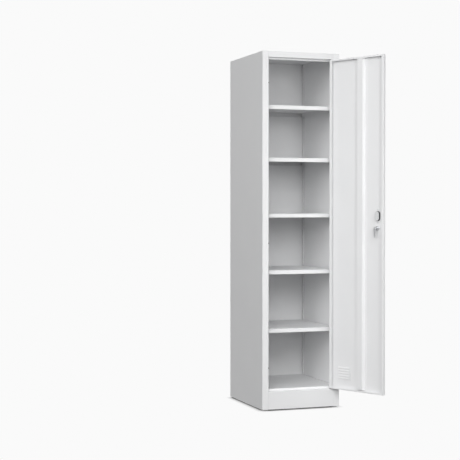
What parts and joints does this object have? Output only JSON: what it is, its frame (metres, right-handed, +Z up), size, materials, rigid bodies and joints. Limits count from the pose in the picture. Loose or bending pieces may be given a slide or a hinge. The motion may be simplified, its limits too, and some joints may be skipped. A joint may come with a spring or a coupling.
{
  "type": "locker cabinet",
  "caption": "Tall narrow steel locker with one inset full-height door, adjustable shelves, a recessed pull handle and a cam lock with folding keys.",
  "frame": {"origin": "on the floor under the middle of the cabinet, at the underside of the glides", "axes": "+Z up, -Y out of the front, +X to the hinge side; the door is open 115 degrees at rest"},
  "size_m": [0.5432, 0.8204, 1.85],
  "materials": {
    "white_steel": "satin white powder coat",
    "handle_grey": "light grey lacquered zinc casting",
    "chrome": "bright chrome plate",
    "dark_chrome": "dark chrome plate",
    "zinc_steel": "zinc-plated steel",
    "key_plastic": "black moulded plastic",
    "bush_plastic": "natural nylon",
    "glide_plastic": "dark moulded plastic on a steel stud",
    "rubber": "matt"
  },
  "bodies": {
    "cabinet": {"left_side_panel": "white_steel", "right_side_panel": "white_steel", "back_panel": "white_steel", "top_panel": "white_steel", "plinth_rail": "white_steel", "floor_panel": "white_steel", "upright_left_front": "white_steel", "upright_left_rear": "white_steel", "upright_right_front": "white_steel", "upright_right_rear": "white_steel", "shelf_1": "white_steel", "shelf_2": "white_steel", "shelf_3": "white_steel", "shelf_4": "white_steel", "shelf_5": "white_steel", "shelf_clips": "zinc_steel", "foot_front_left": "glide_plastic", "foot_front_right": "glide_plastic", "foot_rear_left": "glide_plastic", "foot_rear_right": "glide_plastic", "foot_plates": "white_steel", "foot_nuts": "zinc_steel", "upper_hinge_bush": "bush_plastic", "lower_hinge_bush": "bush_plastic", "strike_plate": "zinc_steel", "door_buffers": "rubber", "back_rivets": "white_steel"},
    "door": {"door_panel": "white_steel", "door_stiffener": "white_steel", "vent_plate": "white_steel", "upper_hinge_pin": "zinc_steel", "upper_pin_bracket": "white_steel", "lower_hinge_pin": "zinc_steel", "lower_pin_bracket": "white_steel", "pull_handle": "handle_grey", "handle_retainer": "dark_chrome", "retainer_screws": "zinc_steel", "lock_barrel": "chrome", "lock_nut": "zinc_steel"},
    "lock": {"lock_plug": "chrome", "lock_cam": "zinc_steel", "cam_screw": "zinc_steel", "key_shank": "zinc_steel"},
    "key_head": {"key_bow": "key_plastic", "key_fold_pin": "zinc_steel"},
    "ring": {"key_ring": "chrome"},
    "spare_key": {"spare_key_bow": "key_plastic", "spare_key_blade": "zinc_steel"}
  },
  "joints": [
    {"name": "door_hinge", "type": "hinge", "parent": "cabinet", "child": "door", "pos_m": [0.1735, -0.245, 0.95], "axis": [0, 0, 1], "range_deg": [-115, 0]},
    {"name": "key_turn", "type": "hinge", "parent": "door", "child": "lock", "pos_m": [0.31007, -0.51895, 0.943], "axis": [0.9063, 0.4226, 0], "range_deg": [-90, 0]},
    {"name": "key_fold", "type": "hinge", "parent": "lock", "child": "key_head", "pos_m": [0.32059, -0.51405, 0.943], "axis": [-0.4226, 0.9063, 0], "range_deg": [-90, 0]},
    {"name": "ring_swing", "type": "hinge", "parent": "key_head", "child": "ring", "pos_m": [0.32059, -0.51405, 0.9235], "axis": [0.9063, 0.4226, 0], "range_deg": [-30, 30]},
    {"name": "spare_key_swing", "type": "hinge", "parent": "ring", "child": "spare_key", "pos_m": [0.32059, -0.51405, 0.9085], "axis": [0.9063, 0.4226, 0], "range_deg": [-30, 30]}
  ]
}
